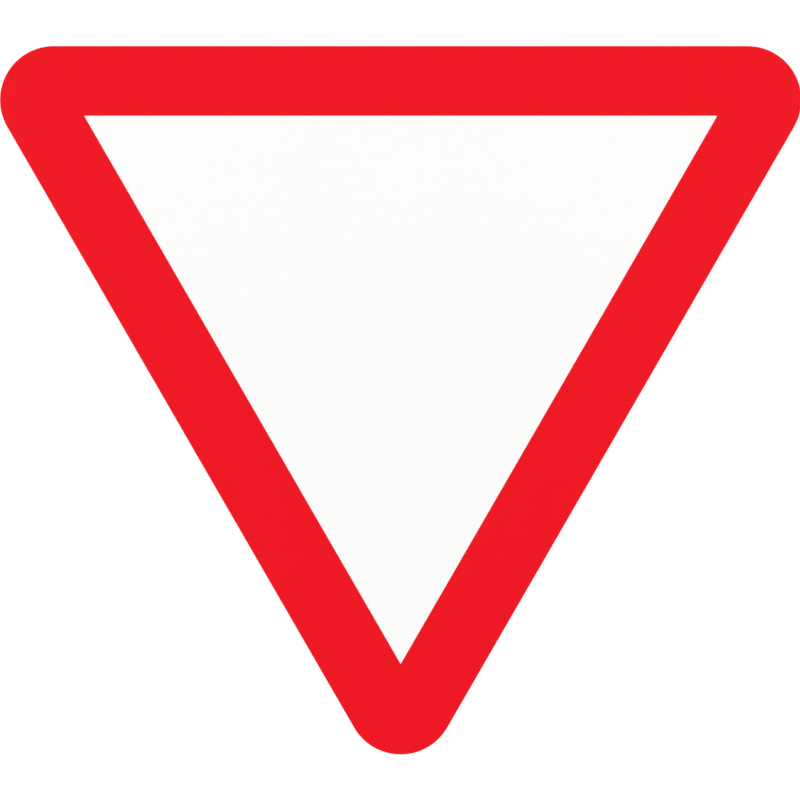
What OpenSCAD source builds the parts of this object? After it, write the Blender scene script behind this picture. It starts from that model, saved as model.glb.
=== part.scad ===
// Give way sign for one round post: a triangular plate with its face films, two channel rails riveted to
// its back, and a post clip bolted to each rail.
// The face looks along -Y and Z is up. The origin is on the post's axis, midway between the two clips.
// All lengths are in millimetres.

/* [Plate] */
// Height of the plate, from its top edge to its lowest point
sign_h = 750; // [700:10:900]
// Radius of the three corners
corner_r = 57; // [40:1:75]
// Thickness of the aluminium plate
plate_t = 3; // [2:0.5:5]

/* [Face] */
// Thickness of the white reflective sheeting
sheeting_t = 0.4; // [0.3:0.1:0.8]
// Width of the red border along the two sloping sides
border_w = 76.4; // [60:0.1:90]
// Width of the red border along the top
border_top_w = 73.8; // [60:0.1:90]
// Thickness of the red film
border_t = 0.1; // [0.1:0.05:0.3]

/* [Rails] */
// Distance from the plate's top edge down to the middle of the upper rail
upper_rail_drop = 150; // [110:5:190]
// Distance between the middles of the two rails
rail_pitch = 280; // [220:5:320]
// Distance from a rail's lower corner to the plate's sloping edge, measured level
rail_edge_gap = 40; // [20:1:60]
// Height of each riveting flange, beyond the channel's wall
flange_h = 12; // [11:0.5:16]
// Thickness of the flanges and of the web between them
flange_t = 2.5; // [2:0.1:3.5]
// Thickness of the channel's two walls
channel_wall = 3; // [2:0.1:4]
// Thickness of the lips at the channel's mouth
lip_t = 3; // [2:0.1:4]
// Radius of a rail's outer edges
rail_edge_r = 0.8; // [0.4:0.1:0.9]

/* [Rivets] */
// Diameter of a rivet's shank
rivet_d = 4.8; // [4:0.1:5]
// Diameter of the countersunk head at the plate's front face
rivet_head_d = 8; // [7:0.1:8.5]
// Diameter of the formed dome on the flange
rivet_dome_d = 9; // [7:0.1:10]
// Height of the formed dome
rivet_dome_h = 2; // [1.5:0.1:3]
// Greatest distance between rivets along a rail
rivet_pitch = 110; // [70:5:150]
// Distance from a rail's end to its first rivet
rivet_end = 20; // [12:1:30]
// Clearance round a rivet in its holes
rivet_gap = 0.1; // [0.05:0.05:0.2]

/* [Post clips] */
// Outside diameter of the post that the clips hold
post_d = 76.1; // [60:0.1:90]
// Thickness of a clip
clip_t = 4; // [3:0.5:5]
// Width of a clip, along the post
clip_w = 30; // [24:1:40]
// Radius in the bend between a clip's leg and its ear
clip_bend_r = 3; // [2:0.5:6]
// Distance from a bolt's axis to the end of the ear
ear_end = 12; // [10:0.5:18]
// Radius of the ear's corners
ear_corner_r = 5; // [2:0.5:8]
// Gap between an ear and the rail, which lets the bolts pull the clip tight
clip_pull_gap = 0.8; // [0.3:0.1:0.9]

/* [Fasteners] */
// Diameter of the bolts
bolt_d = 8; // [6:0.5:9]
// Length of a bolt under its head
bolt_l = 25; // [20:1:40]
// Width across the flats of the bolt heads and nuts
hex_af = 13; // [12:0.5:14]
// Thickness of a bolt's head
bolt_head_t = 5.3; // [4:0.1:6.5]
// Outside diameter of a washer
washer_d = 16; // [15:0.5:20]
// Thickness of a washer
washer_t = 1.6; // [1:0.1:2.5]
// Height of a nut's hexagon
nut_hex_h = 6; // [5:0.1:7]
// Outside diameter of the collar on a nut
nut_collar_d = 11.8; // [11:0.1:12]
// Wall of that collar
nut_collar_wall = 0.6; // [0.4:0.1:0.8]
// Height of the nylon ring in the collar
nut_ring_h = 2; // [1.5:0.1:3]
// How far the chamfer takes in the corners of the hexagons
hex_chamfer = 0.6; // [0.3:0.1:0.8]

/* [Clearances] */
// Play across a bolt in the rail's slot and in the clip's hole
bolt_hole_play = 1; // [0.5:0.1:1.5]
// Play across a bolt in its washer
washer_play = 0.4; // [0.2:0.1:0.8]
// Gap between a bolt and the nut and ring round it
thread_gap = 0.1; // [0.05:0.05:0.15]
// Gap between a bolt head's flats and the channel's walls
head_side_gap = 0.5; // [0.3:0.1:1]
// Room behind a bolt head, which lets it slide along the rail
head_back_gap = 1.2; // [0.5:0.1:2]
// Gap between a washer and the bend in the clip
washer_gap = 1; // [0.5:0.1:2]

/* [Hidden] */
$fn = 64;

// A cut passes this far through the faces that it opens
cut = 1;
// The plate's sides run this far inside the corner circles, so that they cross them and don't just touch
side_inset = 0.002;

// Colours, as red, green and blue
white = [0.96, 0.96, 0.95];
red = [0.93, 0.11, 0.14];
aluminium = [0.72, 0.73, 0.74];
extrusion = [0.78, 0.79, 0.8];
rivet_grey = [0.66, 0.67, 0.68];
zinc = [0.74, 0.74, 0.7];
nylon = [0.88, 0.88, 0.84];

// Heights: the clips are as far above the origin as below it
upper_z = rail_pitch / 2;
lower_z = -rail_pitch / 2;
top_z = upper_z + upper_rail_drop;

// The plate is an equilateral triangle with a point down. Its sides would meet in sharp corners, and
// the lowest of those lies one corner radius below the plate's lowest point.
sharp_h = sign_h + corner_r;
sharp_z = top_z - sharp_h;
inradius = sharp_h / 3;
centre_z = top_z - inradius;
corner_angles = [-90, 30, 150];

// Across the rail
channel_in = hex_af + 2 * head_side_gap;
channel_h = channel_in + 2 * channel_wall;
channel_d = bolt_head_t + head_back_gap;
rail_h = channel_h + 2 * flange_h;
rail_d = flange_t + channel_d + lip_t;
slot_w = bolt_d + bolt_hole_play;
rivet_z = (channel_h + flange_h) / 2;

// Distances along Y, from the post's axis forwards
post_r = post_d / 2;
lip_y = -post_r;
plate_back_y = lip_y - rail_d;
plate_front_y = plate_back_y - plate_t;
sheeting_front_y = plate_front_y - sheeting_t;
flange_y = plate_back_y + flange_t;
head_y = lip_y - lip_t;
ear_front_y = lip_y + clip_pull_gap;
ear_back_y = ear_front_y + clip_t;
bend_y = ear_back_y + clip_bend_r;
washer_back_y = ear_back_y + washer_t;

// Distances along X
bend_x = post_r + clip_t + clip_bend_r;
bolt_x = bend_x + washer_gap + washer_d / 2;
ear_x = bolt_x + ear_end;

// Fastener sizes that follow from the rest
rivet_l = flange_t + plate_t;
countersink = (rivet_head_d - rivet_d) / 2;
dome_r = (pow(rivet_dome_d / 2, 2) + pow(rivet_dome_h, 2)) / (2 * rivet_dome_h);
nut_bore_d = bolt_d + 2 * thread_gap;
ring_d = nut_collar_d - 2 * nut_collar_wall;

// Unit vector at an angle
function dir(a) = [cos(a), sin(a)];

// Centre of the rounding circle at one of the plate's corners
function corner_centre(a) = [0, centre_z] + 2 * (inradius - corner_r) * dir(a);

// Half the width of the triangle at height z
function half_width(z) = (z - sharp_z) / sqrt(3);

// Half the length of the rail whose middle is at height z
function rail_half_l(z) = half_width(z - rail_h / 2) - rail_edge_gap;

// Number of spaces between the rivets of a rail
function rivet_spaces(z) = ceil(2 * (rail_half_l(z) - rivet_end) / rivet_pitch);

// Flanges that have a rivet at station i of n: both at the ends, and one or the other between them
function rivet_flanges(i, n) = i == 0 || i == n ? [-1, 1] : [i % 2 == 0 ? 1 : -1];

// Outline of the plate, with y up: a hexagon whose long sides run from corner circle to corner circle,
// and the circles
module plate_outline() {
    polygon([for (a = corner_angles, s = [-60, 60]) corner_centre(a) + (corner_r - side_inset) * dir(a + s)]);
    for (a = corner_angles) translate(corner_centre(a)) circle(corner_r);
}

// Inside edge of the border: a triangle with sharp corners
module field_outline() {
    field_top_z = top_z - border_top_w;
    field_low_z = sharp_z + 2 * border_w;
    field_x = (field_top_z - field_low_z) / sqrt(3);
    polygon([[0, field_low_z], [field_x, field_top_z], [-field_x, field_top_z]]);
}

// A flat layer with its back at y and its thickness towards the front
module layer(y, t) {
    translate([0, y, 0]) rotate([90, 0, 0]) linear_extrude(t) children();
}

// A rectangle from x = 0, centred on y = 0, with round corners
module rounded_bar(w, h, r) {
    translate([0, r - h / 2]) square([w, h - 2 * r]);
    translate([r, -h / 2]) square([w - 2 * r, h]);
    for (x = [r, w - r], y = [r - h / 2, h / 2 - r]) translate([x, y]) circle(r);
}

// Places a copy at each rivet of the rail at height z, with its origin on the flange and +Z to the front
module at_rivets(z) {
    n = rivet_spaces(z);
    first = rivet_end - rail_half_l(z);
    for (i = [0:n], side = rivet_flanges(i, n))
        translate([first * (1 - 2 * i / n), flange_y, z + side * rivet_z]) rotate([90, 0, 0]) children();
}

// Places a copy at each bolt of the clip at height z, with its origin at distance y and +Z to the back
module at_bolts(y, z) {
    for (side = [-1, 1]) translate([side * bolt_x, y, z]) rotate([-90, 0, 0]) children();
}

// Space that a rivet passes through, with the same clearance all round
module rivet_hole() {
    translate([0, 0, -cut]) cylinder(d = rivet_d + 2 * rivet_gap, h = rivet_l + 2 * cut);
    translate([0, 0, rivet_l - countersink])
        cylinder(d1 = rivet_d + 2 * rivet_gap, d2 = rivet_head_d + 2 * rivet_gap, h = countersink);
}

// A rivet: the dome below z = 0, the shank, and the countersunk head
module rivet() {
    intersection() {
        translate([0, 0, dome_r - rivet_dome_h]) sphere(dome_r);
        translate([0, 0, -rivet_dome_h]) cylinder(d = rivet_dome_d, h = rivet_dome_h);
    }
    cylinder(d = rivet_d, h = rivet_l);
    translate([0, 0, rivet_l - countersink]) cylinder(d1 = rivet_d, d2 = rivet_head_d, h = countersink);
}

// A hexagonal prism that a 30 degree chamfer takes the corners off, at its lower end, its upper end or both
module hexagon(h, below, above) {
    tip_r = hex_af / 2 / cos(30);
    chamfer_h = hex_chamfer * tan(30);
    intersection() {
        cylinder(r = tip_r, h = h, $fn = 6);
        rotate_extrude() polygon([
            [0, 0],
            [tip_r - (below ? hex_chamfer : 0), 0],
            [tip_r, below ? chamfer_h : 0],
            [tip_r, above ? h - chamfer_h : h],
            [tip_r - (above ? hex_chamfer : 0), h],
            [0, h]
        ]);
    }
}

// The plate, drilled and countersunk for the rivets of both rails
module sign_plate() {
    color(aluminium) difference() {
        layer(plate_back_y, plate_t) plate_outline();
        for (z = [upper_z, lower_z]) at_rivets(z) rivet_hole();
    }
}

// White sheeting over the whole front of the plate
module face_sheeting() {
    color(white) layer(plate_front_y, sheeting_t) plate_outline();
}

// Red film round the white field
module border_film() {
    color(red) layer(sheeting_front_y, border_t) difference() {
        plate_outline();
        field_outline();
    }
}

// Section of a rail, with the plate at x = 0 and the slot at the far side
module rail_section() {
    difference() {
        union() {
            rounded_bar(flange_t, rail_h, rail_edge_r);
            rounded_bar(rail_d, channel_h, rail_edge_r);
        }
        translate([flange_t, -channel_in / 2]) square([channel_d, channel_in]);
        translate([flange_t + channel_d - cut, -slot_w / 2]) square([lip_t + 2 * cut, slot_w]);
    }
}

// An extruded rail: a channel whose slot opens to the back, between two flanges that are riveted on
module rail(z) {
    half_l = rail_half_l(z);
    color(extrusion) difference() {
        translate([-half_l, plate_back_y, z]) rotate([90, 0, 90]) linear_extrude(2 * half_l) rail_section();
        at_rivets(z) rivet_hole();
    }
}

// The rivets of one rail
module rail_rivets(z) {
    color(rivet_grey) at_rivets(z) rivet();
}

// One ear of a clip, with its bolt hole, reaching along +X from the bend
module clip_ear() {
    difference() {
        translate([bend_x, ear_back_y, 0]) rotate([90, 0, 0]) linear_extrude(clip_t) difference() {
            translate([-ear_corner_r, 0]) rounded_bar(ear_x - bend_x + ear_corner_r, clip_w, ear_corner_r);
            translate([-2 * ear_corner_r, -clip_w]) square([2 * ear_corner_r, 2 * clip_w]);
        }
        translate([bolt_x, ear_front_y - cut, 0]) rotate([-90, 0, 0])
            cylinder(d = slot_w, h = clip_t + 2 * cut);
    }
}

// A post clip: a half ring round the back of the post, two straight legs, and two ears bent outwards
module clip(z) {
    color(aluminium) translate([0, 0, z]) {
        translate([0, 0, -clip_w / 2]) rotate_extrude(angle = 180)
            translate([post_r, 0]) square([clip_t, clip_w]);
        for (side = [0, 1]) mirror([side, 0, 0]) {
            translate([post_r, bend_y, -clip_w / 2]) cube([clip_t, -bend_y, clip_w]);
            translate([bend_x, bend_y, -clip_w / 2]) rotate([0, 0, 180]) rotate_extrude(angle = 90)
                translate([clip_bend_r, 0]) square([clip_t, clip_w]);
            clip_ear();
        }
    }
}

// Two bolts, with their heads held in the rail's channel
module clip_bolts(z) {
    color(zinc) at_bolts(head_y, z) {
        cylinder(d = bolt_d, h = bolt_l);
        translate([0, 0, -bolt_head_t]) hexagon(bolt_head_t, below = true, above = false);
    }
}

// Two washers, one on each ear
module clip_washers(z) {
    color(zinc) at_bolts(ear_back_y, z) difference() {
        cylinder(d = washer_d, h = washer_t);
        translate([0, 0, -cut]) cylinder(d = bolt_d + washer_play, h = washer_t + 2 * cut);
    }
}

// Two lock nuts: each is a hexagon with a collar, bored for the bolt and for the ring
module clip_nuts(z) {
    color(zinc) at_bolts(washer_back_y, z) difference() {
        union() {
            hexagon(nut_hex_h, below = true, above = true);
            cylinder(d = nut_collar_d, h = nut_hex_h + nut_ring_h);
        }
        translate([0, 0, -cut]) cylinder(d = nut_bore_d, h = nut_hex_h + 2 * cut);
        translate([0, 0, nut_hex_h]) cylinder(d = ring_d, h = nut_ring_h + cut);
    }
}

// The nylon rings that the nuts' collars hold
module nut_rings(z) {
    color(nylon) at_bolts(washer_back_y + nut_hex_h, z) difference() {
        cylinder(d = ring_d, h = nut_ring_h);
        translate([0, 0, -cut]) cylinder(d = nut_bore_d, h = nut_ring_h + 2 * cut);
    }
}

sign_plate();
face_sheeting();
border_film();
rail(upper_z);  // upper_rail
rail(lower_z);  // lower_rail
rail_rivets(upper_z);  // upper_rail_rivets
rail_rivets(lower_z);  // lower_rail_rivets
clip(upper_z);  // upper_clip
clip(lower_z);  // lower_clip
clip_bolts(upper_z);  // upper_clip_bolts
clip_bolts(lower_z);  // lower_clip_bolts
clip_washers(upper_z);  // upper_clip_washers
clip_washers(lower_z);  // lower_clip_washers
clip_nuts(upper_z);  // upper_clip_nuts
clip_nuts(lower_z);  // lower_clip_nuts
nut_rings(upper_z);  // upper_nut_rings
nut_rings(lower_z);  // lower_nut_rings
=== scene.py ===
"""The looks of a give way sign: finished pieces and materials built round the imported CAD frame.

The script is laid out as a Blender add-on and is run as a script. Everything is in metres, in the frame of
the CAD model: the face looks along -Y, Z is up, and the origin lies on the axis of the post.
"""

import math

import bmesh
import bpy
import numpy as np
from bpy.props import FloatProperty, FloatVectorProperty, PointerProperty
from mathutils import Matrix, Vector
from mathutils.geometry import tessellate_polygon


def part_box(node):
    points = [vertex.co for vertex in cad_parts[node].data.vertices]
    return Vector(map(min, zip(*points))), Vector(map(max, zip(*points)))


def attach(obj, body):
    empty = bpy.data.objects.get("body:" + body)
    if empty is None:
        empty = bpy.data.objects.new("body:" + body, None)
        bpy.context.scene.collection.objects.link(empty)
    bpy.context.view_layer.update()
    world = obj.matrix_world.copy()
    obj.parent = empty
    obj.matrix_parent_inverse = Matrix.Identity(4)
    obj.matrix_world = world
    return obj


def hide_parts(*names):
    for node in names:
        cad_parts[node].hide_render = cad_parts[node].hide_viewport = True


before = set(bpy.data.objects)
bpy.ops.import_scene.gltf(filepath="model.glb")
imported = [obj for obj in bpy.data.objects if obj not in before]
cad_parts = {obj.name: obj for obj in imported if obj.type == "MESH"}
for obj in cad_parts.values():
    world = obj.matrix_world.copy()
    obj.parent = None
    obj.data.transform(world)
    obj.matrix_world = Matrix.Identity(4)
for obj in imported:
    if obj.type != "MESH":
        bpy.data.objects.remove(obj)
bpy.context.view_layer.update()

bl_info = {
    "name": "Give way sign",
    "version": (1, 0, 0),
    "blender": (4, 5, 0),
    "location": "3D View > Sidebar > Sign",
    "description": "Finished pieces and materials for a triangular give way sign",
    "category": "Object",
}

MM = 0.001
BODY = "root"

# Points closer than this are one point when the patches of a surface are sewn together
SEW = 2e-6
# Faces that meet at a greater angle than this, in degrees, meet in a crisp edge
CRISP_ANGLE = 38.0
# Segments of a small rounded edge, and of the corners of a section, of an ear and of the plate
EDGE_STEPS = 4
CORNER_STEPS = 6
EAR_CORNER_STEPS = 8
PLATE_CORNER_STEPS = 40
# Segments round a rivet's hole, round the hole in an ear, and round a turned piece
RIVET_HOLE_STEPS = 32
EAR_HOLE_STEPS = 48
TURN_STEPS = 72
# Stations along half of a clip's ring, and along the bend to its ear
RING_STATIONS = 33
BEND_STATIONS = 13

# The rails, the clips and what belongs to them come in these two
SIDES = ("upper", "lower")

# The photograph is square, and the sign spans these pixels of it, from the top edge to the lowest point
PHOTO_PIXELS = 800
PHOTO_TOP = 46.04
PHOTO_BOTTOM = 754.5
PHOTO_MIDDLE_X = 400.66


def linear(*screen):
    """The linear colour of 8-bit screen values: the inverse of the sRGB curve."""
    values = np.array(screen) / 255
    low = values / 12.92
    high = ((values + 0.055) / 1.055) ** 2.4
    return tuple(float(v) for v in np.where(values <= 0.04045, low, high))


WHITE_LIGHT = (1.0, 1.0, 1.0, 1.0)
# How metallic aluminium is under its thin oxide
OXIDISED = 0.92
# Bright metal in scratches, on the sheared edge and on the sawn ends, and the cold cast of zinc
SCRATCHED = linear(208, 210, 212)
SHEARED = linear(214, 216, 218)
SAWN = linear(216, 218, 220)
COLD_ZINC = linear(184, 189, 192)


def length(name, description, millimetres):
    """A property for a length, given in millimetres and kept in metres."""
    return FloatProperty(
        name=name,
        description=description,
        default=millimetres * MM,
        min=0.0,
        precision=5,
        subtype="DISTANCE",
        unit="LENGTH",
    )


def colour(name, description, *screen):
    """A property for a colour, given as 8-bit screen values and kept as a linear colour."""
    return FloatVectorProperty(
        name=name,
        description=description,
        default=linear(*screen),
        min=0.0,
        max=1.0,
        size=3,
        subtype="COLOR",
    )


class SignFaceSizes(bpy.types.PropertyGroup):
    """Sizes of the plate and of its films."""

    corner_radius: length("Corner radius", "Radius of the plate's three corners", 57)
    border_width: length("Border width", "Width of the red border along the sloping sides", 76.4)
    border_top: length("Border top", "Width of the red border along the top", 73.8)
    plate_edge: length("Plate edge", "Rounding left on the plate's edge by the shears", 0.35)
    film_edge: length("Film edge", "Rounding of the cut edges of the sheeting", 0.08)
    cell_pitch: length("Cell pitch", "Distance across one cell of the reflective sheeting", 3.6)


class SignRailSizes(bpy.types.PropertyGroup):
    """Sizes of the two rails and of their rivets."""

    flange_thickness: length("Flange thickness", "Thickness of the flanges and of the web", 2.5)
    flange_reach: length("Flange reach", "Height of a flange beyond the channel's wall", 12)
    channel_width: length("Channel width", "Width inside the channel, between its walls", 14)
    channel_wall: length("Channel wall", "Thickness of the channel's walls", 3)
    lip_thickness: length("Lip thickness", "Thickness of the lips at the slot", 3)
    slot_width: length("Slot width", "Width of the slot between the lips", 9)
    outer_corner: length("Outer corner", "Radius of the rail's outer edges", 0.8)
    inner_corner: length("Inner corner", "Radius of the small inside and outside corners", 0.35)
    end_chamfer: length("End chamfer", "Chamfer on the sawn ends", 0.3)
    rivet_shank: length("Rivet shank", "Diameter of a rivet's shank", 4.8)
    rivet_head: length("Rivet head", "Diameter of the countersunk head", 8)
    rivet_dome: length("Rivet dome", "Diameter of the dome formed on the flange", 9)
    rivet_dome_height: length("Dome height", "Height of the dome", 2)
    rivet_play: length("Rivet play", "Gap round a rivet in its hole", 0.1)
    rivet_pitch: length("Rivet pitch", "Greatest distance between rivets", 110)
    rivet_end: length("Rivet end", "Distance from the rail's end to its first rivet", 20)


class SignClipSizes(bpy.types.PropertyGroup):
    """Sizes of the post clips and of their fasteners."""

    strap_thickness: length("Strap thickness", "Thickness of the clip's strap", 4)
    strap_edge: length("Strap edge", "Rounding along the strap's edges", 0.7)
    bend_radius: length("Bend radius", "Inside radius between a leg and its ear", 3)
    ear_corner: length("Ear corner", "Radius of the ear's corners", 5)
    ear_end: length("Ear end", "Distance from the bolt to the end of the ear", 12)
    hole_diameter: length("Hole diameter", "Diameter of the bolt hole in an ear", 9)
    hole_chamfer: length("Hole chamfer", "Chamfer at both ends of that hole", 0.3)
    bolt_diameter: length("Bolt diameter", "Diameter over the bolt's thread", 8)
    bolt_length: length("Bolt length", "Length of a bolt under its head", 25)
    thread_pitch: length("Thread pitch", "Distance from one turn of the thread to the next", 1.25)
    thread_depth: length("Thread depth", "Depth of the thread", 0.68)
    across_flats: length("Across flats", "Width of the hexagons across their flats", 13)
    hexagon_chamfer: length("Hexagon chamfer", "How far the chamfer takes in the hexagon's corners", 0.6)
    washer_diameter: length("Washer diameter", "Outside diameter of a washer", 16)
    washer_bore: length("Washer bore", "Diameter of the hole in a washer", 8.4)
    washer_edge: length("Washer edge", "Rounding on a washer's edges", 0.25)
    nut_bore: length("Nut bore", "Diameter of the hole in a nut and in its ring", 8.2)
    nut_hexagon: length("Nut hexagon", "Height of a nut's hexagon", 6)
    collar_diameter: length("Collar diameter", "Outside diameter of the nut's collar", 11.8)
    collar_wall: length("Collar wall", "Wall of the nut's collar", 0.6)


class SignColours(bpy.types.PropertyGroup):
    """Colours of the films, the metals and the nylon."""

    white: colour("White", "White reflective sheeting", 251, 251, 250)
    red: colour("Red", "Red film of the border", 240, 14, 30)
    plate: colour("Plate", "Mill-finish aluminium of the plate", 171, 174, 178)
    rail: colour("Rail", "Extruded aluminium of the rails", 191, 194, 198)
    rivet: colour("Rivet", "Aluminium of the rivets", 160, 163, 167)
    clip: colour("Clip", "Rolled aluminium of the clips", 177, 180, 184)
    zinc: colour("Zinc", "Bright zinc plating of the fasteners", 190, 190, 180)
    nylon: colour("Nylon", "Nylon of the rings in the nuts", 224, 224, 214)
    floor: colour("Floor", "Pale floor under the sign", 240, 240, 239)


class SignStageSettings(bpy.types.PropertyGroup):
    """The floor, the light and the camera."""

    lens: FloatProperty(
        name="Lens",
        description="Focal length of the camera, in millimetres",
        default=100.0,
        subtype="DISTANCE_CAMERA",
    )
    floor_drop: length("Floor drop", "Height of the sign's lowest point above the floor", 3000)
    floor_radius: length("Floor radius", "Radius of the floor", 6000)
    sky_level: FloatProperty(
        name="Sky level",
        description="Strength of the even light from all round",
        default=0.62,
        subtype="FACTOR",
    )
    lamp_power: FloatProperty(
        name="Lamp power",
        description="Power of each of the four soft lamps",
        default=45.0,
        subtype="POWER",
        unit="POWER",
    )
    lamp_size: length("Lamp size", "Side of each lamp's square", 2400)
    lamp_reach: length("Lamp reach", "Distance of the lamps to the side, before and behind", 2700)
    lamp_height: length("Lamp height", "Height of the lamps above the middle of the sign", 450)


class Socket:
    """An output socket in a finish's node tree. Arithmetic on it adds Math nodes."""

    def __init__(self, finish, link):
        self.finish = finish
        self.link = link

    def math(self, operation, *values):
        """A Math node with this operation on these values, which are sockets or numbers."""
        return self.finish.node("ShaderNodeMath", {"operation": operation}, dict(enumerate(values)))

    def __add__(self, other):
        return self.math("ADD", self, other)

    def __radd__(self, other):
        return self.math("ADD", other, self)

    def __sub__(self, other):
        return self.math("SUBTRACT", self, other)

    def __rsub__(self, other):
        return self.math("SUBTRACT", other, self)

    def __mul__(self, other):
        return self.math("MULTIPLY", self, other)

    def __rmul__(self, other):
        return self.math("MULTIPLY", other, self)

    def __abs__(self):
        return self.math("ABSOLUTE", self)

    def fraction(self):
        """The part after the decimal point."""
        return self.math("FRACT", self)

    def least(self, other):
        """The smaller of two values."""
        return self.math("MINIMUM", self, other)

    def most(self, other):
        """The larger of two values."""
        return self.math("MAXIMUM", self, other)

    def ramp(self, start, stop):
        """A smooth step: 0 up to start, 1 from stop on."""
        inputs = {"Value": self, "From Min": start, "From Max": stop}
        return self.finish.node("ShaderNodeMapRange", {"interpolation_type": "SMOOTHSTEP"}, inputs)

    def stretched(self):
        """Noise, which keeps mostly between 0.3 and 0.7, stretched to reach 0 and 1."""
        return self.ramp(0.3, 0.7)

    def spread(self, low, high):
        """Carries values from 0 to 1 over to low to high."""
        return self * (high - low) + low


class NodeTree:
    """The nodes of a material or of the world, written as expressions."""

    def __init__(self, owner):
        owner.use_nodes = True
        self.tree = owner.node_tree
        self.tree.nodes.clear()

    def node(self, kind, settings, inputs, output=0):
        """Adds a node. Its settings are made first, then its sockets get their values or links."""
        node = self.tree.nodes.new(kind)
        for name, value in settings.items():
            setattr(node, name, value)
        for key, value in inputs.items():
            if isinstance(value, Socket):
                self.tree.links.new(value.link, node.inputs[key])
            else:
                node.inputs[key].default_value = value
        return Socket(self, node.outputs[output]) if node.outputs else None

    def seen_directly(self):
        """1 for rays from the camera, from reflections and through glass, and 0 for light on the object."""
        kinds = ("Is Camera Ray", "Is Glossy Ray", "Is Transmission Ray")
        camera, glossy, through = [self.node("ShaderNodeLightPath", {}, {}, kind) for kind in kinds]
        return camera.most(glossy).most(through)


class Finish(NodeTree):
    """A material. Its patterns read the place on the object, in metres."""

    def __init__(self, name):
        self.material = bpy.data.materials.new(name)
        super().__init__(self.material)
        self.place = self.node("ShaderNodeTexCoord", {}, {}, "Object")

    def axis(self, name):
        """The place along X, Y or Z, in metres."""
        return self.node("ShaderNodeSeparateXYZ", {}, {0: self.place}, name)

    def facing(self, name):
        """The surface's own direction along X, Y or Z, from -1 to 1."""
        normal = self.node("ShaderNodeTexCoord", {}, {}, "Normal")
        return self.node("ShaderNodeSeparateXYZ", {}, {0: normal}, name)

    def noise(self, grain, detail=3.0, roughness=0.5, lean=0.0):
        """Noise whose lumps measure grain, in millimetres: one size, or three along X, Y and Z.

        lean turns the pattern about Y, in degrees.
        """
        scale = tuple(1 / (size * MM) for size in np.broadcast_to(grain, 3))
        spot = self.place
        if lean:
            inputs = {"Vector": spot, "Angle": math.radians(lean)}
            spot = self.node("ShaderNodeVectorRotate", {"rotation_type": "Y_AXIS"}, inputs)
        spot = self.node("ShaderNodeVectorMath", {"operation": "MULTIPLY"}, {0: spot, 1: scale})
        inputs = {0: spot, "Scale": 1.0, "Detail": detail, "Roughness": roughness}
        return self.node("ShaderNodeTexNoise", {}, inputs)

    def mix(self, factor, first, second):
        """A mix of two colours."""
        inputs = {0: factor, 6: self.tint(first), 7: self.tint(second)}
        return self.node("ShaderNodeMix", {"data_type": "RGBA"}, inputs, 2)

    def tint(self, value):
        """A colour with its alpha, or the socket that gives one."""
        return value if isinstance(value, Socket) else (*value, 1.0)

    def bump(self, height, distance):
        """A normal for a relief whose height from 0 to 1 measures distance, in millimetres."""
        inputs = {"Strength": 1.0, "Distance": distance * MM, "Height": height}
        return self.node("ShaderNodeBump", {}, inputs)

    def surface(self, base, **sockets):
        """Ends the material in one surface shader. A socket's name is written with underscores."""
        inputs = {name.replace("_", " "): value for name, value in sockets.items()}
        inputs["Base Color"] = self.tint(base)
        return self.end(self.node("ShaderNodeBsdfPrincipled", {}, inputs))

    def end(self, shader):
        """Joins a shader to the material's output."""
        self.node("ShaderNodeOutputMaterial", {}, {"Surface": shader})
        return self.material


def darker(tone, share):
    """A colour with this share of its light taken away."""
    return tuple(float(v) * (1 - share) for v in tone)


def honeycomb(finish, pitch):
    """How deep inside its cell a place on the face is: 0 on a cell's wall, 0.5 at its middle.

    Hexagons of this pitch have their middles on two rectangular lattices, one shifted by half a step. On
    each lattice the distance across flats is the larger of |x| and half |x| plus 0.866 |z|, and the
    nearer middle has the smaller one.
    """
    rise = math.sqrt(3)
    across = finish.axis("X") * (1 / pitch)
    up = finish.axis("Z") * (1 / pitch / rise)
    nearest = None
    for shift in (0.0, 0.5):
        x = abs((across + shift).fraction() - 0.5)
        z = abs((up + shift).fraction() - 0.5) * rise
        reach = x.most(x * 0.5 + z * (rise / 2))
        nearest = reach if nearest is None else nearest.least(reach)
    return 0.5 - nearest


def sheeting_finish(name, tone, pitch, seam_shade, gloss):
    """Reflective sheeting: sealed cells in a honeycomb, under a clear glossy skin.

    The seams between cells are a little darker and stand a little proud, fine grains fill the cells, and
    a wide faint mottle keeps the whole face from being one flat colour.
    """
    finish = Finish(name)
    # A seam is full up to the first of these depths into a cell, in pitches, and gone at the second
    seam = 1.0 - honeycomb(finish, pitch).ramp(0.015, 0.075)
    grains = finish.noise(0.45, detail=1.0)
    mottle = finish.noise(120, detail=4.0)
    shade = seam * 0.65 + grains * 0.2 + mottle * 0.25
    base = finish.mix(shade, tone, darker(tone, seam_shade))
    relief = seam * 0.8 + grains * 0.2
    return finish.surface(
        base,
        Roughness=mottle.spread(0.26, 0.34),
        Normal=finish.bump(relief, 0.015),
        Specular_IOR_Level=gloss,
    )


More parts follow.
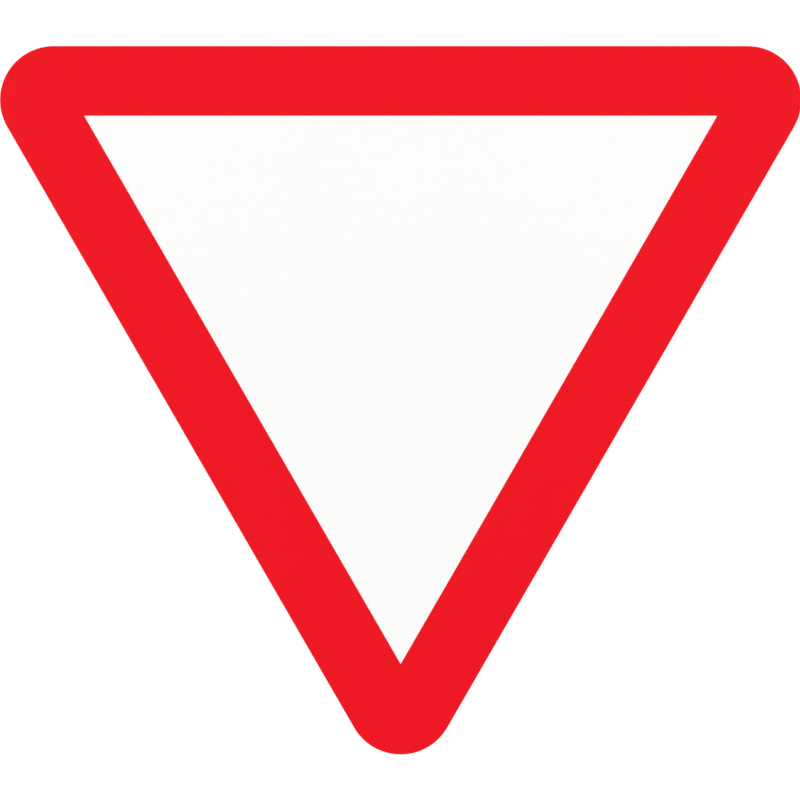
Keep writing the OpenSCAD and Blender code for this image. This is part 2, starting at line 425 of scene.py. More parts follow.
def plate_finish(tone):
    """Mill-finish sheet: long rolling streaks, fine grain, a few scuffs and a paler sheared edge."""
    finish = Finish("plate_aluminium")
    streaks = finish.noise((240, 3, 1.6), detail=5.0, roughness=0.6)
    fine = finish.noise((30, 1, 0.35), detail=3.0)
    cloud = finish.noise(90, detail=4.0)
    scuffs = finish.noise((45, 5, 0.7), detail=3.0, lean=23).ramp(0.7, 0.76)
    marks = finish.noise((30, 5, 0.5), detail=3.0, lean=-58).ramp(0.71, 0.77)
    edge = 1.0 - abs(finish.facing("Y")).ramp(0.5, 0.9)
    shade = streaks.ramp(0.25, 0.75) * 0.55 + cloud.ramp(0.25, 0.75) * 0.45
    rolled = finish.mix(shade, tone, darker(tone, 0.2))
    worn = finish.mix((scuffs + marks) * 0.3, rolled, SCRATCHED)
    base = finish.mix(edge * 0.7, worn, SHEARED)
    relief = streaks * 0.5 + fine * 0.5
    return finish.surface(
        base,
        Metallic=OXIDISED,
        Roughness=(shade * 0.16 + fine * 0.1 + 0.3).most(edge * 0.5),
        Normal=finish.bump(relief, 0.02),
    )


def rail_finish(tone):
    """Extruded aluminium: straight die lines of several widths that run the whole length."""
    finish = Finish("rail_aluminium")
    lines = finish.noise((900, 0.5, 0.5), detail=4.0, roughness=0.75)
    bands = finish.noise((1500, 3, 3), detail=2.0)
    cloud = finish.noise(60, detail=3.0)
    sawn = abs(finish.facing("X")).ramp(0.5, 0.9)
    shade = lines.stretched() * 0.5 + bands.stretched() * 0.3 + cloud * 0.2
    base = finish.mix(shade, tone, darker(tone, 0.2))
    bright = finish.mix(sawn * 0.6, base, SAWN)
    return finish.surface(
        bright,
        Metallic=OXIDISED,
        Roughness=shade * 0.18 + 0.36,
        Normal=finish.bump(lines, 0.05),
    )


def strap_finish(tone):
    """Rolled aluminium strip: fine grain along the bends, bending marks and small dents."""
    finish = Finish("clip_aluminium")
    grain = finish.noise((1.8, 1.8, 0.22), detail=4.0, roughness=0.65)
    cloud = finish.noise(14, detail=4.0)
    nicks = finish.noise(1.1, detail=1.0).ramp(0.72, 0.8)
    shade = grain.stretched() * 0.5 + cloud.stretched() * 0.5
    base = finish.mix(shade, tone, darker(tone, 0.22))
    marked = finish.mix(nicks * 0.5, base, darker(tone, 0.45))
    return finish.surface(
        marked,
        Metallic=OXIDISED,
        Roughness=shade * 0.16 + 0.3,
        Normal=finish.bump(grain * 0.6 + cloud * 0.4 - nicks * 0.5, 0.04),
    )


def rivet_finish(tone):
    """Set aluminium: the snap leaves the dome lightly hammered."""
    finish = Finish("rivet_aluminium")
    hammered = finish.noise(1.0, detail=2.0)
    stain = finish.noise(3.5, detail=3.0)
    base = finish.mix(stain.stretched(), tone, darker(tone, 0.28))
    return finish.surface(
        base,
        Metallic=OXIDISED,
        Roughness=stain.spread(0.28, 0.46),
        Normal=finish.bump(hammered, 0.06),
    )


def zinc_finish(tone):
    """Bright zinc plating: a fine crystalline mottle with a faint straw to blue cast."""
    finish = Finish("zinc_steel")
    crystals = finish.noise(0.6, detail=2.0)
    cast = finish.noise(6, detail=2.0)
    cold = finish.mix(cast.stretched(), tone, COLD_ZINC)
    base = finish.mix(crystals.ramp(0.3, 0.8) * 0.5, cold, darker(tone, 0.25))
    return finish.surface(
        base,
        Metallic=1.0,
        Roughness=crystals.spread(0.22, 0.38),
        Normal=finish.bump(crystals, 0.015),
    )


def nylon_finish(tone):
    """Natural nylon: dull, slightly uneven in colour."""
    finish = Finish("nylon")
    cloud = finish.noise(1.5, detail=2.0)
    base = finish.mix(cloud, tone, darker(tone, 0.12))
    return finish.surface(
        base,
        Roughness=0.5,
        Normal=finish.bump(cloud, 0.03),
        Specular_IOR_Level=0.4,
    )


def floor_finish(tone, radius):
    """Pale floor, part lit by the scene and part white to the camera and to reflections.

    Towards its edge it turns all white, so that it passes into the white round it.
    """
    finish = Finish("floor")
    away = finish.node("ShaderNodeVectorMath", {"operation": "LENGTH"}, {0: finish.place}, "Value")
    specks = finish.noise(8, detail=2.0)
    base = finish.mix(specks, tone, darker(tone, 0.02))
    lit = finish.node("ShaderNodeBsdfDiffuse", {}, {"Color": base})
    glow = finish.node("ShaderNodeEmission", {}, {"Color": WHITE_LIGHT, "Strength": 1.0})
    share = finish.seen_directly() * away.ramp(radius * 0.6, radius).spread(0.55, 1.0)
    return finish.end(finish.node("ShaderNodeMixShader", {}, {0: share, 1: lit, 2: glow}))


def added(name, data):
    """A new object in the scene, at the origin."""
    made = bpy.data.objects.new(name, data)
    bpy.context.scene.collection.objects.link(made)
    return made


class Skin:
    """The surface of one piece, sewn together from patches that meet at their edges."""

    def __init__(self):
        self.points = []
        self.faces = []
        self.count = 0

    def add(self, points, faces):
        """Adds points, in any array whose last axis is XYZ, and the faces between them."""
        flat = np.asarray(points, float).reshape(-1, 3)
        self.points.append(flat)
        self.faces.extend((np.asarray(faces) + self.count).tolist())
        self.count += len(flat)

    def grid(self, points, around=False, skipped=()):
        """Quads over an array of points, row by row; around joins the last column to the first.

        A skipped column's quads are left out.
        """
        rows, columns = points.shape[:2]
        index = np.arange(rows * columns).reshape(rows, columns)
        if around:
            index = np.hstack([index, index[:, :1]])
        quads = np.stack([index[:-1, :-1], index[:-1, 1:], index[1:, 1:], index[1:, :-1]], axis=-1)
        kept = np.setdiff1d(np.arange(quads.shape[1]), skipped)
        self.add(points, quads[:, kept].reshape(-1, 4))

    def flat(self, *rings):
        """Triangles over a flat outline, less the holes whose rings follow it."""
        triangles = tessellate_polygon([[Vector(point) for point in ring] for ring in rings])
        self.add(np.concatenate(rings), triangles)

    def edge(self, ring, insets, levels):
        """The edge of a flat layer: a ring that follows a profile, given as distances in and values of Y."""
        self.grid(np.stack([ring(inset, y) for inset, y in zip(insets, levels)]), around=True)

    def laid(self, name, finish):
        """An object made of the patches as they are."""
        mesh = bpy.data.meshes.new(name)
        mesh.from_pydata(np.concatenate(self.points), [], self.faces)
        mesh.materials.append(finish)
        return added(name, mesh)

    def piece(self, name, finish, node):
        """Sews the patches into one closed object that rides on the frame and stands for a node."""
        made = self.laid(name, finish)
        mesh = made.data
        sewn = bmesh.new()
        sewn.from_mesh(mesh)
        bmesh.ops.remove_doubles(sewn, verts=sewn.verts, dist=SEW)
        bmesh.ops.dissolve_degenerate(sewn, edges=sewn.edges, dist=SEW)
        bmesh.ops.recalc_face_normals(sewn, faces=sewn.faces)
        sewn.to_mesh(mesh)
        sewn.free()
        mesh.shade_smooth()
        mesh.set_sharp_from_angle(angle=math.radians(CRISP_ANGLE))
        levelled = made.modifiers.new("even_faces", "WEIGHTED_NORMAL")
        levelled.keep_sharp = True
        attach(made, BODY)
        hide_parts(node)


def place(x, y, z):
    """Points from three arrays of coordinates that fit together."""
    return np.stack(np.broadcast_arrays(x, y, z), axis=-1)


def circle(steps):
    """Angles of one full turn, without the last, which would repeat the first."""
    return np.linspace(0, 2 * math.pi, steps, endpoint=False)


def edge_profile(front, back, radius):
    """Section of a flat layer's edge, as two arrays: distance in from the edge, and Y.

    Two quarter circles of this radius join the front face, the edge and the back face.
    """
    turn = np.linspace(0, math.pi / 2, EDGE_STEPS + 1)
    inset = radius * (1 - np.sin(turn))
    drop = radius * (1 - np.cos(turn))
    return np.concatenate([inset, inset[::-1]]), np.concatenate([front + drop, (back - drop)[::-1]])


def rounded_outline(corners, radii, steps=CORNER_STEPS):
    """A closed outline whose corners are replaced by arcs, and the index of each corner's last point.

    At a corner, the arc touches both sides at the distance radius / tan(half the corner's angle), and
    its middle lies on the bisector at radius / sin(half the angle).
    """
    corners = np.asarray(corners, float)
    points = []
    ends = []
    for here, before, after, radius in zip(corners, np.roll(corners, 1, 0), np.roll(corners, -1, 0), radii):
        back = (before - here) / np.linalg.norm(before - here)
        on = (after - here) / np.linalg.norm(after - here)
        half = math.acos(np.clip(back @ on, -1, 1)) / 2
        middle = here + (back + on) / np.linalg.norm(back + on) * radius / math.sin(half)
        start = here + back * radius / math.tan(half) - middle
        stop = here + on * radius / math.tan(half) - middle
        share = np.linspace(0, 1, steps + 1)[:, None]
        sweep = math.pi - 2 * half
        arc = (np.sin((1 - share) * sweep) * start + np.sin(share * sweep) * stop) / math.sin(sweep)
        points.append(middle + arc)
        ends.append(len(points) * (steps + 1) - 1)
    return np.concatenate(points), ends


def shrunk(outline, distance):
    """A closed outline moved inwards by a short distance, along the bisectors of its corners."""
    before = outline - np.roll(outline, 1, 0)
    after = np.roll(outline, -1, 0) - outline
    before /= np.linalg.norm(before, axis=1, keepdims=True)
    after /= np.linalg.norm(after, axis=1, keepdims=True)
    inward = (before + after) / (1 + (before * after).sum(1, keepdims=True))
    x, y = outline.T
    anticlockwise = np.sign((x * np.roll(y, -1) - np.roll(x, -1) * y).sum())
    return outline + anticlockwise * distance * np.stack([-inward[:, 1], inward[:, 0]], axis=1)


def turned(skin, rings, origin, around=False):
    """A surface turned about an axis along Y.

    Each ring is a radius and a height along +Y from the origin, as numbers or as one value for each
    angle. around joins the last ring to the first, for a piece with a bore.
    """
    angle = circle(TURN_STEPS)
    radius = np.array([np.broadcast_to(ring[0], angle.shape) for ring in rings])
    height = np.array([np.broadcast_to(ring[1], angle.shape) for ring in rings])
    if around:
        radius = np.vstack([radius, radius[:1]])
        height = np.vstack([height, height[:1]])
    x, y, z = origin
    skin.grid(place(x + radius * np.cos(angle), y + height, z + radius * np.sin(angle)), around=True)


def hexagon_reach(across_flats):
    """Distance from the axis to a hexagon's side at each angle, with corners very slightly rounded.

    It is half the width across flats over a sum: the 90th root of the 90th powers of the cosines of the
    angles to the three pairs of flats.
    """
    sharpness = 90
    flats = np.radians([30, 90, 150])
    cosines = np.abs(np.cos(circle(TURN_STEPS)[:, None] - flats))
    return across_flats / 2 / (cosines**sharpness).sum(1) ** (1 / sharpness)


def hexagon_rings(sizes, low, high, below, above):
    """Rings of a hexagonal prism from low to high, with its corners taken off by a cone below or above.

    The cone starts at the radius of the corners less the chamfer, and where the side lies further out,
    the end face drops by the distance beyond that radius times the tangent of the cone's slope.
    """
    slope = math.radians(30)
    reach = hexagon_reach(sizes.across_flats)
    cone = sizes.across_flats / 2 / math.cos(math.pi / 6) - sizes.hexagon_chamfer
    drop = np.maximum(reach - cone, 0) * math.tan(slope)
    inner = np.minimum(reach, cone)
    bottom = [(inner, low), (reach, low + drop)] if below else [(reach, low)]
    top = [(reach, high - drop), (inner, high)] if above else [(reach, high)]
    return bottom + top


class SignFrame:
    """Places that follow from the CAD nodes' boxes and from the scene's sizes."""

    def __init__(self, context):
        self.face = context.scene.sign_face
        self.rails = context.scene.sign_rails
        self.clips = context.scene.sign_clips
        self.colours = context.scene.sign_colours
        self.stage = context.scene.sign_stage
        low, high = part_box("sign_plate")
        self.top = high.z
        self.bottom = low.z
        self.plate_front = low.y
        self.plate_back = high.y
        self.sheeting_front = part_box("face_sheeting")[0].y
        self.film_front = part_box("border_film")[0].y
        self.inradius = (high.z - low.z + self.face.corner_radius) / 3
        self.middle = self.top - self.inradius

    def plate_ring(self, inset, y):
        """The plate's outline, drawn in by inset: arcs about three centres, joined by straight sides."""
        towards = np.radians([-90, 30, 150])[:, None]
        turn = towards + np.radians(np.linspace(-60, 60, PLATE_CORNER_STEPS + 1))
        reach = 2 * (self.inradius - self.face.corner_radius)
        radius = self.face.corner_radius - inset
        x = reach * np.cos(towards) + radius * np.cos(turn)
        z = self.middle + reach * np.sin(towards) + radius * np.sin(turn)
        return place(x.ravel(), y, z.ravel())

    def field_ring(self, inset, y):
        """The inside edge of the border, a sharp triangle; inset draws the film back from it.

        Its tip lies twice the sloping border's width above the point where the plate's sides would meet,
        and half its width is its height over the square root of 3.
        """
        top = self.top - self.face.border_top + inset
        tip = self.top - 3 * self.inradius + 2 * (self.face.border_width - inset)
        half = (top - tip) / math.sqrt(3)
        return place(np.array([0, half, -half]), y, np.array([tip, top, top]))

    def rail_span(self, node):
        """Half the length of a rail and the height of its middle."""
        low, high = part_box(node)
        return (high.x - low.x) / 2, (high.z + low.z) / 2

    def rivet_places(self, node):
        """X and Z of a rail's rivets.

        They stand at even steps along the rail. The two stations at its ends have a rivet in both
        flanges, and those between have one, in the upper and the lower flange by turns.
        """
        half, middle = self.rail_span(node)
        low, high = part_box(node)
        rise = (high.z - low.z - self.rails.flange_reach) / 2
        first = half - self.rails.rivet_end
        spaces = math.ceil(2 * first / self.rails.rivet_pitch)
        places = []
        for i in range(spaces + 1):
            flanges = (-1, 1) if i in (0, spaces) else ((-1) ** i,)
            places += [(-first * (1 - 2 * i / spaces), middle + flange * rise) for flange in flanges]
        return places

    def bolt_places(self, node):
        """X and Z of a clip's two bolts."""
        low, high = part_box(node)
        reach = high.x - self.clips.ear_end
        return [(side * reach, (low.z + high.z) / 2) for side in (-1, 1)]


def ring_about(x, y, z, radius):
    """The rim of a rivet's hole: a circle of this radius about an axis along Y."""
    angle = circle(RIVET_HOLE_STEPS)
    return place(x + radius * np.cos(angle), y, z + radius * np.sin(angle))


def bore(skin, x, z, levels):
    """The wall of a rivet's hole along Y, through its levels: pairs of Y and radius."""
    skin.grid(np.stack([ring_about(x, y, z, radius) for y, radius in levels]), around=True)


class SIGN_OT_plate(bpy.types.Operator):
    """Aluminium plate with sheared edges and countersunk rivet holes"""

    bl_idname = "sign.plate"
    bl_label = "Plate"

    def execute(self, context):
        sign = SignFrame(context)
        rails = sign.rails
        inset, y = edge_profile(sign.plate_front, sign.plate_back, sign.face.plate_edge)
        skin = Skin()
        skin.edge(sign.plate_ring, inset, y)
        hole = rails.rivet_shank / 2 + rails.rivet_play
        mouth = rails.rivet_head / 2 + rails.rivet_play
        throat = sign.plate_front + (rails.rivet_head - rails.rivet_shank) / 2
        places = sign.rivet_places("upper_rail") + sign.rivet_places("lower_rail")
        for x, z in places:
            bore(skin, x, z, [(sign.plate_front, mouth), (throat, hole), (sign.plate_back, hole)])
        skin.flat(
            sign.plate_ring(inset[0], y[0]),
            *[ring_about(x, sign.plate_front, z, mouth) for x, z in places],
        )
        skin.flat(
            sign.plate_ring(inset[-1], y[-1]),
            *[ring_about(x, sign.plate_back, z, hole) for x, z in places],
        )
        skin.piece("plate_blank", plate_finish(sign.colours.plate), "sign_plate")
        return {"FINISHED"}


class SIGN_OT_films(bpy.types.Operator):
    """White sheeting over the whole plate, and the red film of the border on it"""

    bl_idname = "sign.films"
    bl_label = "Films"

    def execute(self, context):
        sign = SignFrame(context)
        edge = sign.face.film_edge
        pitch = sign.face.cell_pitch
        colours = sign.colours
        inset, y = edge_profile(sign.sheeting_front, sign.plate_front, edge)
        sheeting = Skin()
        sheeting.edge(sign.plate_ring, inset, y)
        for end in (0, -1):
            sheeting.flat(sign.plate_ring(inset[end], y[end]))
        white = sheeting_finish("white_sheeting", colours.white, pitch, seam_shade=0.03, gloss=0.15)
        sheeting.piece("white_face", white, "face_sheeting")

        inset, y = edge_profile(sign.film_front, sign.sheeting_front, edge / 2)
        border = Skin()
        border.edge(sign.plate_ring, inset, y)
        border.edge(sign.field_ring, inset, y)
        for end in (0, -1):
            border.flat(sign.plate_ring(inset[end], y[end]), sign.field_ring(inset[end], y[end]))
        red = sheeting_finish("red_film", colours.red, pitch, seam_shade=0.1, gloss=0.1)
        border.piece("red_border", red, "border_film")
        return {"FINISHED"}


def rail_outline(rails, depth):
    """Section of a rail: distance back from the plate, and height from the rail's middle.

    Also the index of the last point of the corners that come before the three flat strips with rivet
    holes: the front face, and the two flanges' back faces.
    """
    flange = rails.flange_thickness
    slot = rails.slot_width / 2
    mouth = depth - rails.lip_thickness
    hollow = rails.channel_width / 2
    wall = hollow + rails.channel_wall
    height = wall + rails.flange_reach
    outer = rails.outer_corner
    inner = rails.inner_corner
    upper = [
        (flange, height, outer), (flange, wall, 2 * inner), (depth, wall, outer), (depth, slot, inner),
        (mouth, slot, inner), (mouth, hollow, inner), (flange, hollow, inner),
    ]
    lower = [(x, -z, radius) for x, z, radius in reversed(upper)]
    corners = [(0, -height, outer), (0, height, outer), *upper, *lower]
    outline, ends = rounded_outline([c[:2] for c in corners], [c[2] for c in corners])
    strips = (ends[0], ends[2], ends[-2])
    return outline, strips


def build_rail(sign, node, name, finish):
    """An extrusion: the section carried along X, with sawn and chamfered ends and rivet holes."""
    rails = sign.rails
    low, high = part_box(node)
    half, middle = sign.rail_span(node)
    hole = rails.rivet_shank / 2 + rails.rivet_play
    section, strips = rail_outline(rails, high.y - low.y)
    sawn = shrunk(section, rails.end_chamfer)
    inner_half = half - rails.end_chamfer

    def station(outline, x):
        return place(x, low.y + outline[:, 0], middle + outline[:, 1])

    stations = [(sawn, -half), (section, -inner_half), (section, inner_half), (sawn, half)]
    skin = Skin()
    rings = np.stack([station(outline, x) for outline, x in stations])
    skin.grid(rings[:2], around=True)
    skin.grid(rings[1:3], around=True, skipped=strips)
    skin.grid(rings[2:], around=True)
    skin.flat(rings[0])
    skin.flat(rings[-1])
    places = sign.rivet_places(node)
    flange_back = low.y + rails.flange_thickness
    for x, z in places:
        bore(skin, x, z, [(low.y, hole), (flange_back, hole)])
    for strip in strips:
        sides = section[[strip, (strip + 1) % len(section)]]
        y = low.y + sides[0, 0]
        heights = middle + sides[:, 1]
        corners = place(
            np.array([-inner_half, inner_half, inner_half, -inner_half]),
            y,
            heights[[0, 0, 1, 1]],
        )
        inside = [(x, z) for x, z in places if min(heights) < z < max(heights)]
        skin.flat(corners, *[ring_about(x, y, z, hole) for x, z in inside])
    skin.piece(name, finish, node)


class SIGN_OT_rails(bpy.types.Operator):
    """Two extruded channel rails on the plate's back"""

    bl_idname = "sign.rails"
    bl_label = "Rails"

    def execute(self, context):
        sign = SignFrame(context)
        finish = rail_finish(sign.colours.rail)
        for side in SIDES:
            build_rail(sign, side + "_rail", "channel_rail_" + side, finish)
        return {"FINISHED"}


def rivet_rings(sign):
    """Rings of a rivet, as radius and Y: countersunk head, shank, and the dome on the flange.

    The dome is the cap of a sphere, on a low upright rim.
    """
    rails = sign.rails
    shank = rails.rivet_shank / 2
    head = rails.rivet_head / 2
    dome = rails.rivet_dome / 2
    flange_back = sign.plate_back + rails.flange_thickness
    rim = 0.15 * MM
    rise = rails.rivet_dome_height - rim
    ball = (dome**2 + rise**2) / (2 * rise)
    cap_rings = 9
    tilt = np.linspace(math.asin(dome / ball), 0, cap_rings)
    top = flange_back + rails.rivet_dome_height
    cap = [(ball * math.sin(t), top - ball * (1 - math.cos(t))) for t in tilt]
    return [
        (0, sign.plate_front),
        (head, sign.plate_front),
        (shank, sign.plate_front + head - shank),
        (shank, flange_back),
        (dome - rim / 2, flange_back),
        (dome, flange_back + rim / 2),
        *cap,
    ]


class SIGN_OT_rivets(bpy.types.Operator):
    """Rivets that hold the rails, flush at the front and domed at the back"""

    bl_idname = "sign.rivets"
    bl_label = "Rivets"

    def execute(self, context):
        sign = SignFrame(context)
        finish = rivet_finish(sign.colours.rivet)
        rings = rivet_rings(sign)
        for side in SIDES:
            skin = Skin()
            for x, z in sign.rivet_places(side + "_rail"):
                turned(skin, rings, (x, 0, z))
            skin.piece("rivets_" + side, finish, side + "_rail_rivets")
        return {"FINISHED"}


class Strap:
    """The bent strap of a clip, as a map from its flat blank.

    A place on the blank is s, the length along its middle from the centre of the half ring; z, across
    its width; and t, out from the middle of its thickness. Out from the centre to either side the strap
    runs a quarter ring about the post, a straight leg, a quarter bend the other way, and a straight ear.
    """

    def __init__(self, sign, node):
        clips = sign.clips
        low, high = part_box(node)
        self.thickness = clips.strap_thickness
        self.middle = (low.z + high.z) / 2
        self.half_width = (high.z - low.z) / 2
        self.ring = high.y - self.thickness / 2
        self.bend = clips.bend_radius + self.thickness / 2
        self.bend_y = low.y + self.thickness + clips.bend_radius
        self.bend_x = self.ring + self.bend
        self.ring_end = self.ring * math.pi / 2
        self.leg_end = self.ring_end - self.bend_y
        self.bend_end = self.leg_end + self.bend * math.pi / 2
        self.tip = self.bend_end + high.x - self.bend_x

    def bent(self, s, z, t):
        """The place in the frame of a place on the blank."""
        s, z, t = np.broadcast_arrays(s, z, t)
        along = np.abs(s)
        turn = np.where(along < self.ring_end, along / self.ring, math.pi / 2)
        fold = np.clip((along - self.leg_end) / self.bend, 0, math.pi / 2)
        down = np.clip(along - self.ring_end, 0, self.leg_end - self.ring_end)
        out = np.maximum(along - self.bend_end, 0)
        in_ring = along < self.leg_end
        ring_x = (self.ring + t) * np.sin(turn)
        ring_y = (self.ring + t) * np.cos(turn) - down
        ear_x = self.bend_x - (self.bend - t) * np.cos(fold) + out
        ear_y = self.bend_y - (self.bend - t) * np.sin(fold)
        x = np.where(in_ring, ring_x, ear_x) * np.sign(s + (s == 0))
        return place(x, np.where(in_ring, ring_y, ear_y), z + self.middle)

    def stations(self):
        """Lengths along the strap at which its surface has points, from bend to bend."""
        ring = np.linspace(0, self.ring_end, RING_STATIONS)
        bend = np.linspace(self.leg_end, self.bend_end, BEND_STATIONS)
        side = np.concatenate([ring, bend])
        return np.concatenate([-side[:0:-1], side])


def build_clip(sign, node, name, finish):
    """A clip: the rounded edge carried round the blank, its two faces, and the bolt holes, all bent."""
    clips = sign.clips
    strap = Strap(sign, node)
    half = strap.thickness / 2
    stations = strap.stations()
    corner = clips.ear_corner
    straight = strap.tip - corner
    turn = np.linspace(0, math.pi / 2, EAR_CORNER_STEPS + 1)
    run = straight + corner * np.sin(turn)
    rise = strap.half_width - corner * (1 - np.cos(turn))
    lean = np.stack([np.sin(turn), np.cos(turn)], axis=1)
    upper_s = np.concatenate([-run[::-1], stations, run])
    upper_z = np.concatenate([rise[::-1], np.full(len(stations), strap.half_width), rise])
    upper_lean = np.concatenate([lean[::-1] * (-1, 1), np.tile((0.0, 1.0), (len(stations), 1)), lean])
    s = np.concatenate([upper_s, upper_s[::-1]])
    z = np.concatenate([upper_z, -upper_z[::-1]])
    out = np.concatenate([upper_lean, upper_lean[::-1] * (1, -1)])
    inset, t = edge_profile(-half, half, clips.strap_edge)
    skin = Skin()
    edge_s = s - inset[:, None] * out[:, 0]
    edge_z = z - inset[:, None] * out[:, 1]
    skin.grid(strap.bent(edge_s, edge_z, t[:, None]), around=True)

    width = strap.half_width - clips.strap_edge
    hole = clips.hole_diameter / 2
    chamfer = clips.hole_chamfer
    bolt = strap.tip - clips.ear_end
    angle = circle(EAR_HOLE_STEPS)
    for face in (-half, half):
        skin.grid(strap.bent(stations, np.array([[-width], [width]]), face))
        for side in (-1, 1):
            on_ear = np.flatnonzero(side * edge_s[0] >= strap.bend_end - SEW)
            order = np.roll(on_ear, -np.argmax(np.diff(on_ear) > 1) - 1)
            rim = (side * bolt + (hole + chamfer) * np.cos(angle), (hole + chamfer) * np.sin(angle))
            skin.flat(strap.bent(edge_s[0, order], edge_z[0, order], face), strap.bent(*rim, face))
    levels = [(-half, hole + chamfer), (chamfer - half, hole), (half - chamfer, hole), (half, hole + chamfer)]
    for side in (-1, 1):
        wall = [strap.bent(side * bolt + r * np.cos(angle), r * np.sin(angle), level) for level, r in levels]
        skin.grid(np.stack(wall), around=True)
    skin.piece(name, finish, node)


class SIGN_OT_clips(bpy.types.Operator):
    """Two straps bent round the post, with a bolt hole in each ear"""

    bl_idname = "sign.clips"
    bl_label = "Clips"

    def execute(self, context):
        sign = SignFrame(context)
        finish = strap_finish(sign.colours.clip)
        for side in SIDES:
            build_clip(sign, side + "_clip", "post_clip_" + side, finish)
        return {"FINISHED"}


def bolt_rings(clips, total):
    """Rings of a bolt from its head, at 0, to its end.

    The thread is a helix: at each angle and height its phase is the height over the pitch less the
    angle over a full turn. A triangular wave of the phase gives the depth of cut. It is stretched and
    clipped, so that crests and roots are flat, and it fades out under the head. A cone chamfers the end.
    The dish in the head has a floor and a rim, whose radii are shares of the width across flats.
    """
    thread_slack = 0.02 * MM
    neck = 0.3 * MM
    dish = 0.25 * MM
    dish_floor, dish_rim = 0.34, 0.4
    slices = 160
    stretch, flat = 1.25, 0.1
    fade_turns = 1.5
    head = total - clips.bolt_length
    crest = clips.bolt_diameter / 2 - thread_slack
    height = np.linspace(head + neck, total, slices)
    phase = height[:, None] / clips.thread_pitch - circle(TURN_STEPS) / (2 * math.pi)
    wave = np.clip(np.abs(2 * (phase % 1) - 1) * stretch - flat, 0, 1)
    fade = np.clip((height - head) / (fade_turns * clips.thread_pitch), 0, 1)[:, None]
    cone = crest - clips.thread_depth + (total - height)[:, None]
    radius = np.minimum(crest - clips.thread_depth * wave * fade, cone)
    return [
        (0, dish),
        (clips.across_flats * dish_floor, dish),
        (clips.across_flats * dish_rim, 0),
        *hexagon_rings(clips, 0, head, below=True, above=False),
        (crest + neck, head),
        *zip(radius, height),
        (0, total),
    ]


def washer_rings(clips, thickness):
    """Rings of a washer: a flat section whose four edges are rounded."""
    bore_radius = clips.washer_bore / 2
    rim_radius = clips.washer_diameter / 2
    corners = [(bore_radius, 0), (rim_radius, 0), (rim_radius, thickness), (bore_radius, thickness)]
    return rounded_outline(corners, [clips.washer_edge] * len(corners), EDGE_STEPS)[0]


def nut_rings(clips, total):
    """Rings of a lock nut: a chamfered hexagon, a collar rolled over at its mouth, and the stepped bore."""
    bore_radius = clips.nut_bore / 2
    collar = clips.collar_diameter / 2
    seat = collar - clips.collar_wall
    lead = 0.35 * MM
    roll = 0.28 * MM
    shoulder = 0.3 * roll
    fillet = 0.25 * MM
    return [
        (bore_radius, clips.nut_hexagon),
        (bore_radius, lead),
        (bore_radius + lead, 0),
        *hexagon_rings(clips, 0, clips.nut_hexagon, below=True, above=True),
        (collar + fillet, clips.nut_hexagon),
        (collar, clips.nut_hexagon + fillet),
        (collar, total - roll),
        (collar - shoulder, total - shoulder),
        (collar - roll, total),
        (seat, total),
        (seat, clips.nut_hexagon),
    ]


def ring_rings(clips, height):
    """Rings of a nylon ring, with a small lead at the mouth of its bore."""
    bore_radius = clips.nut_bore / 2
    seat = clips.collar_diameter / 2 - clips.collar_wall
    lead = 0.25 * MM
    return [
        (bore_radius, 0),
        (seat, 0),
        (seat, height - lead / 2),
        (seat - lead / 2, height),
        (bore_radius + lead, height),
        (bore_radius, height - lead),
    ]


class SIGN_OT_fasteners(bpy.types.Operator):
    """Bolts, washers and lock nuts with their nylon rings, two of each on a clip"""

    bl_idname = "sign.fasteners"
    bl_label = "Fasteners"

    def execute(self, context):
        sign = SignFrame(context)
        zinc = zinc_finish(sign.colours.zinc)
        nylon = nylon_finish(sign.colours.nylon)
        kinds = (
            ("bolts", "_clip_bolts", bolt_rings, False, zinc, "zinc_steel"),
            ("washers", "_clip_washers", washer_rings, True, zinc, "zinc_steel"),
            ("lock_nuts", "_clip_nuts", nut_rings, True, zinc, "zinc_steel"),
            ("nylon_rings", "_nut_rings", ring_rings, True, nylon, "nylon"),
        )
        for side in SIDES:
            for name, node, shape, bored, finish, slot in kinds:
                low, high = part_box(side + node)
                rings = shape(sign.clips, high.y - low.y)
                skin = Skin()
                for x, z in sign.bolt_places(side + "_clip"):
                    turned(skin, rings, (x, low.y, z), around=bored)
                skin.piece(f"{name}_{side}", finish, side + node)
        return {"FINISHED"}


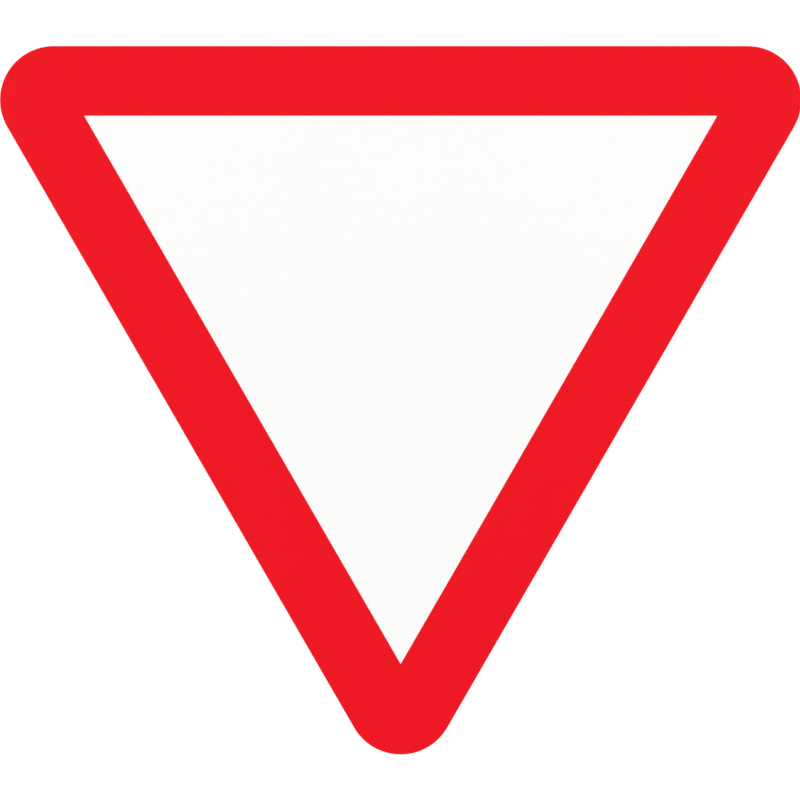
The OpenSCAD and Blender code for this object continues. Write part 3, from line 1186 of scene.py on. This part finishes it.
class SIGN_OT_stage(bpy.types.Operator):
    """Pale floor, even light from all round, four soft lamps, and the camera of the photograph"""

    bl_idname = "sign.stage"
    bl_label = "Stage"

    def execute(self, context):
        sign = SignFrame(context)
        stage = sign.stage
        context.scene.view_settings.view_transform = "Standard"
        self.camera(context, sign)
        self.sky(context, stage.sky_level)
        self.floor(sign)
        for y in (-1, 1):
            for x in (-1, 1):
                self.lamp(sign, x, y)
        return {"FINISHED"}

    def camera(self, context, sign):
        """Looks straight along +Y from where the face fills the picture as it does in the photograph."""
        scale = (sign.top - sign.bottom) / (PHOTO_BOTTOM - PHOTO_TOP)
        data = bpy.data.cameras.new("camera")
        data.lens = sign.stage.lens
        distance = PHOTO_PIXELS * scale * data.lens / data.sensor_width
        made = added("camera", data)
        made.location = (
            (PHOTO_PIXELS / 2 - PHOTO_MIDDLE_X) * scale,
            sign.film_front - distance,
            sign.top - (PHOTO_PIXELS / 2 - PHOTO_TOP) * scale,
        )
        made.rotation_euler = (math.pi / 2, 0, 0)
        context.scene.camera = made

    def sky(self, context, level):
        """White to the camera and in reflections, and a little dimmer as a light."""
        world = bpy.data.worlds.new("sky")
        light = NodeTree(world)
        strength = light.seen_directly() * (1 - level) + level
        shine = light.node("ShaderNodeBackground", {}, {"Color": WHITE_LIGHT, "Strength": strength})
        light.node("ShaderNodeOutputWorld", {}, {"Surface": shine})
        context.scene.world = world

    def floor(self, sign):
        """A level disc that faces up: rings of even width about the post's axis, from the rim inwards."""
        rings, segments = 9, 96
        reach = sign.stage.floor_radius
        level = sign.bottom - sign.stage.floor_drop
        angle = circle(segments)
        radius = np.linspace(reach, 0, rings)[:, None]
        skin = Skin()
        skin.grid(place(radius * np.cos(angle), radius * np.sin(angle), level), around=True)
        skin.laid("floor", floor_finish(sign.colours.floor, reach))

    def lamp(self, sign, x, y):
        """A square soft lamp that faces the sign from one side, x, and from before or behind it, y."""
        stage = sign.stage
        data = bpy.data.lights.new("lamp", "AREA")
        data.size = stage.lamp_size
        data.energy = stage.lamp_power
        away = Vector((x * stage.lamp_reach, y * stage.lamp_reach, stage.lamp_height))
        made = added("lamp", data)
        made.location = away + Vector((0, 0, sign.middle))
        made.rotation_euler = away.to_track_quat("Z", "Y").to_euler()


class SIGN_PT_pieces(bpy.types.Panel):
    """Lists the sign's pieces in the sidebar"""

    bl_idname = "SIGN_PT_pieces"
    bl_label = "Give way sign"
    bl_space_type = "VIEW_3D"
    bl_region_type = "UI"
    bl_category = "Sign"

    def draw(self, context):
        for operator in OPERATORS:
            self.layout.operator(operator.bl_idname)
        for group in GROUPS:
            self.layout.prop(context.scene, group)


OPERATORS = (
    SIGN_OT_stage,
    SIGN_OT_plate,
    SIGN_OT_films,
    SIGN_OT_rails,
    SIGN_OT_rivets,
    SIGN_OT_clips,
    SIGN_OT_fasteners,
)
GROUPS = {
    "sign_face": SignFaceSizes,
    "sign_rails": SignRailSizes,
    "sign_clips": SignClipSizes,
    "sign_colours": SignColours,
    "sign_stage": SignStageSettings,
}


def register():
    """Registers the settings, the operators and the panel."""
    for name, group in GROUPS.items():
        bpy.utils.register_class(group)
        setattr(bpy.types.Scene, name, PointerProperty(type=group))
    for operator in OPERATORS:
        bpy.utils.register_class(operator)
    bpy.utils.register_class(SIGN_PT_pieces)


def unregister():
    """Takes away what register added."""
    bpy.utils.unregister_class(SIGN_PT_pieces)
    for operator in reversed(OPERATORS):
        bpy.utils.unregister_class(operator)
    for name, group in GROUPS.items():
        delattr(bpy.types.Scene, name)
        bpy.utils.unregister_class(group)


def main():
    """Builds every piece and the stage."""
    register()
    bpy.ops.sign.stage()
    bpy.ops.sign.plate()
    bpy.ops.sign.films()
    bpy.ops.sign.rails()
    bpy.ops.sign.rivets()
    bpy.ops.sign.clips()
    bpy.ops.sign.fasteners()


if __name__ == "__main__":
    main()
